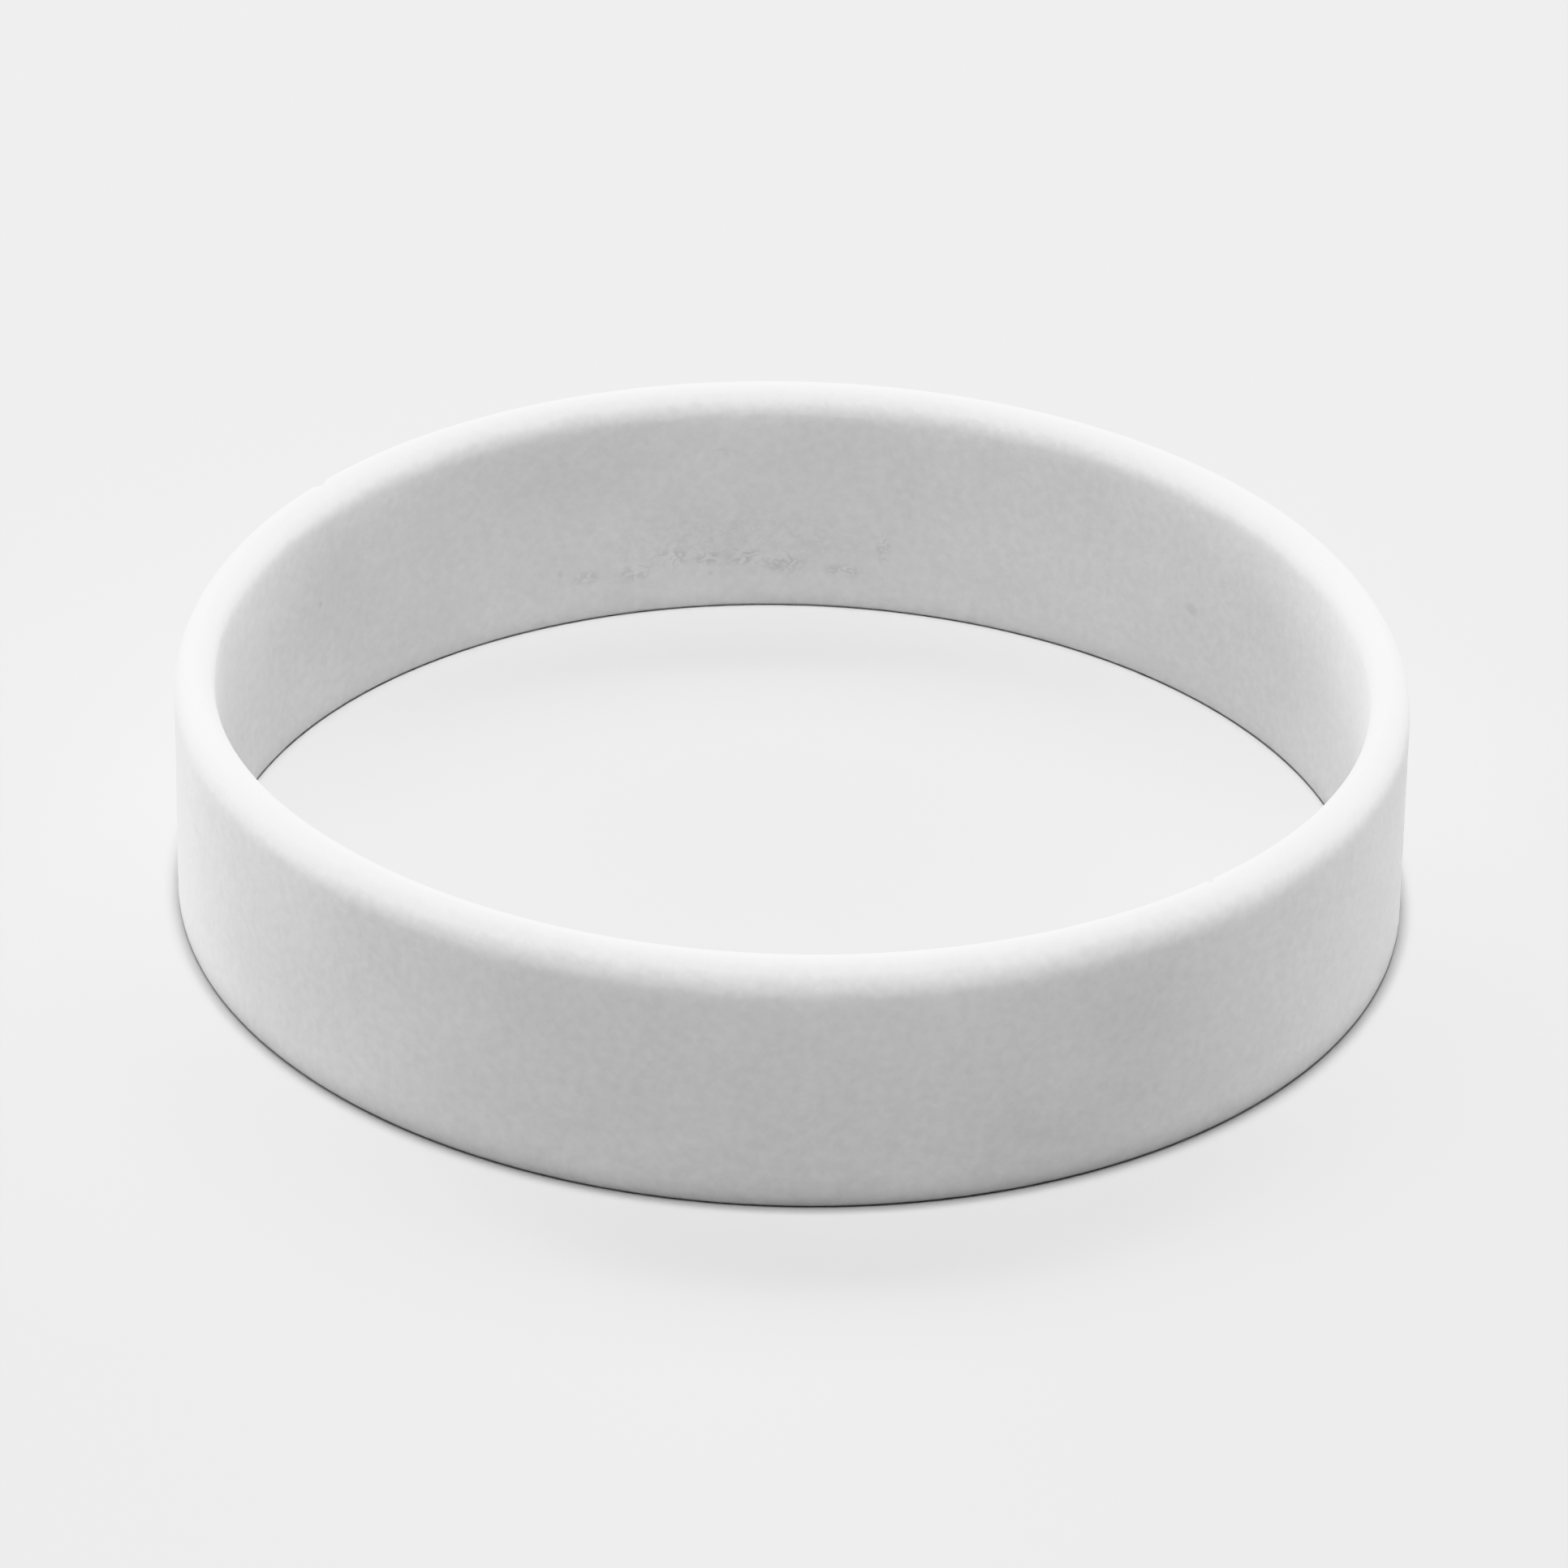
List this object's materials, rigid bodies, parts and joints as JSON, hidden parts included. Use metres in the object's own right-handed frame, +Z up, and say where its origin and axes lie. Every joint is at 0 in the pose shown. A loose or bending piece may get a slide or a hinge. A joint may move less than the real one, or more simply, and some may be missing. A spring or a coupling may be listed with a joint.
{
  "type": "silicone wristband",
  "caption": "Plain moulded silicone wristband, a closed slightly oval hoop with upright walls and an arched upper rim, lying on its side.",
  "frame": {"origin": "middle of the hoop at the height of the lower rim, on the surface that the band lies on", "axes": "+Z up through the hoop, across the band's width; +Y along the oval's longer way; +X along its shorter way"},
  "size_m": [0.0612, 0.0674, 0.0127],
  "materials": {
    "white_silicone": "matt white silicone, soft and slightly translucent, with a very fine mould texture"
  },
  "bodies": {
    "root": {"band": "white_silicone"}
  },
  "joints": []
}
